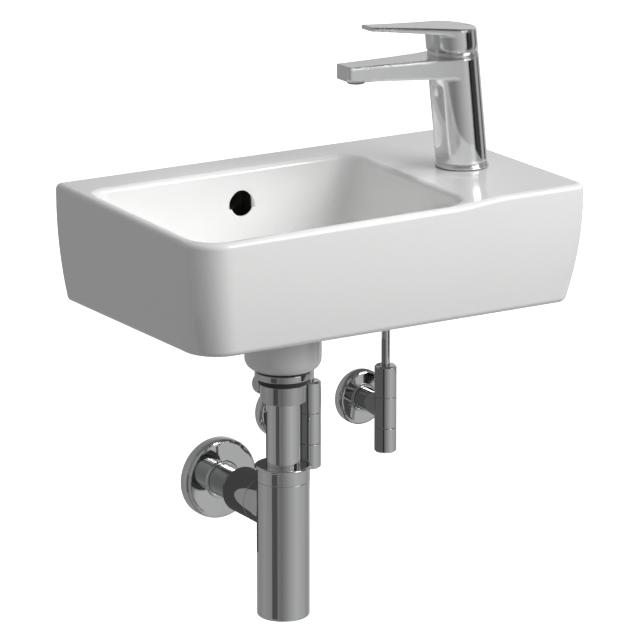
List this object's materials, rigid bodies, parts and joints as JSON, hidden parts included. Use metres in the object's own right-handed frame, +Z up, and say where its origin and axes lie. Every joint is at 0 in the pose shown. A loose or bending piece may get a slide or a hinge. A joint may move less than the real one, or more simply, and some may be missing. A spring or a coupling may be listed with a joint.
{
  "type": "wall hung basin",
  "caption": "Small rectangular wall hung basin with a bowl on the left, a shelf with a single-lever tap on the right, a bottle trap and two angle valves below.",
  "frame": {"origin": "on the wall plane, midway between the two wall bolts", "axes": "+Z up, +Y into the wall, +X to the right as seen from the front, so the basin reaches towards -Y"},
  "size_m": [0.4045, 0.31, 0.5406],
  "materials": {
    "ceramic": "gloss glaze",
    "chrome": "polished chrome plate",
    "steel": "zinc plated",
    "brass": "plain turned",
    "rubber": "matt",
    "plastic": "moulded"
  },
  "bodies": {
    "fixed": {"basin": "ceramic", "hanger_bolts": "steel", "bolt_bushes": "plastic", "bolt_washers": "steel", "bolt_nuts": "steel", "waste_flange": "chrome", "flange_seal": "rubber", "waste_guide": "plastic", "boss_gasket": "rubber", "back_nut": "chrome", "waste_neck_seal": "rubber", "waste_lower_body": "chrome", "port_nut": "chrome", "tail_tube": "chrome", "trap_ring_nut": "chrome", "trap_tube_seal": "rubber", "trap_body": "chrome", "outlet_nut": "chrome", "outlet_seal": "rubber", "outlet_pipe": "chrome", "trap_rosette": "chrome", "valve_body_left": "chrome", "valve_body_right": "chrome", "valve_rosettes": "chrome", "valve_nuts": "chrome", "valve_olives": "brass", "riser_left": "chrome", "riser_right": "chrome", "tap_base_seal": "rubber", "tap_base_ring": "chrome", "tap_body": "chrome", "tap_aerator": "plastic", "cartridge": "plastic", "cartridge_nut": "brass", "dome_cover": "chrome", "mounting_stud": "brass", "deck_gasket": "rubber", "deck_washer": "steel", "stud_nut": "brass"},
    "rotor": {"cartridge_rotor": "plastic", "pivot_pin": "steel"},
    "lever": {"tap_lever": "chrome", "lever_spindle": "steel", "lever_screw": "steel", "lever_cap": "plastic"},
    "plug": {"waste_plug": "chrome", "plug_seal": "rubber"},
    "handle_left": {"valve_handle_left": "chrome", "valve_spindle_left": "brass"},
    "handle_right": {"valve_handle_right": "chrome", "valve_spindle_right": "brass"}
  },
  "joints": [
    {"name": "tap_swivel", "type": "hinge", "parent": "fixed", "child": "rotor", "pos_m": [0.13596, -0.1325, 0.165], "axis": [0, 0, 1], "range_deg": [-45, 45]},
    {"name": "tap_lift", "type": "hinge", "parent": "rotor", "child": "lever", "pos_m": [0.13596, -0.1325, 0.165], "axis": [0, 1, 0], "range_deg": [0, 20]},
    {"name": "plug_lift", "type": "slide", "parent": "fixed", "child": "plug", "axis": [0, 0, 1], "range_m": [0, 0.008]},
    {"name": "valve_left_turn", "type": "hinge", "parent": "fixed", "child": "handle_left", "pos_m": [0.033, -0.054, -0.21], "axis": [0, 0, 1], "range_deg": [0, 90]},
    {"name": "valve_right_turn", "type": "hinge", "parent": "fixed", "child": "handle_right", "pos_m": [0.12, -0.047, -0.21], "axis": [0, 0, 1], "range_deg": [0, 90]}
  ]
}
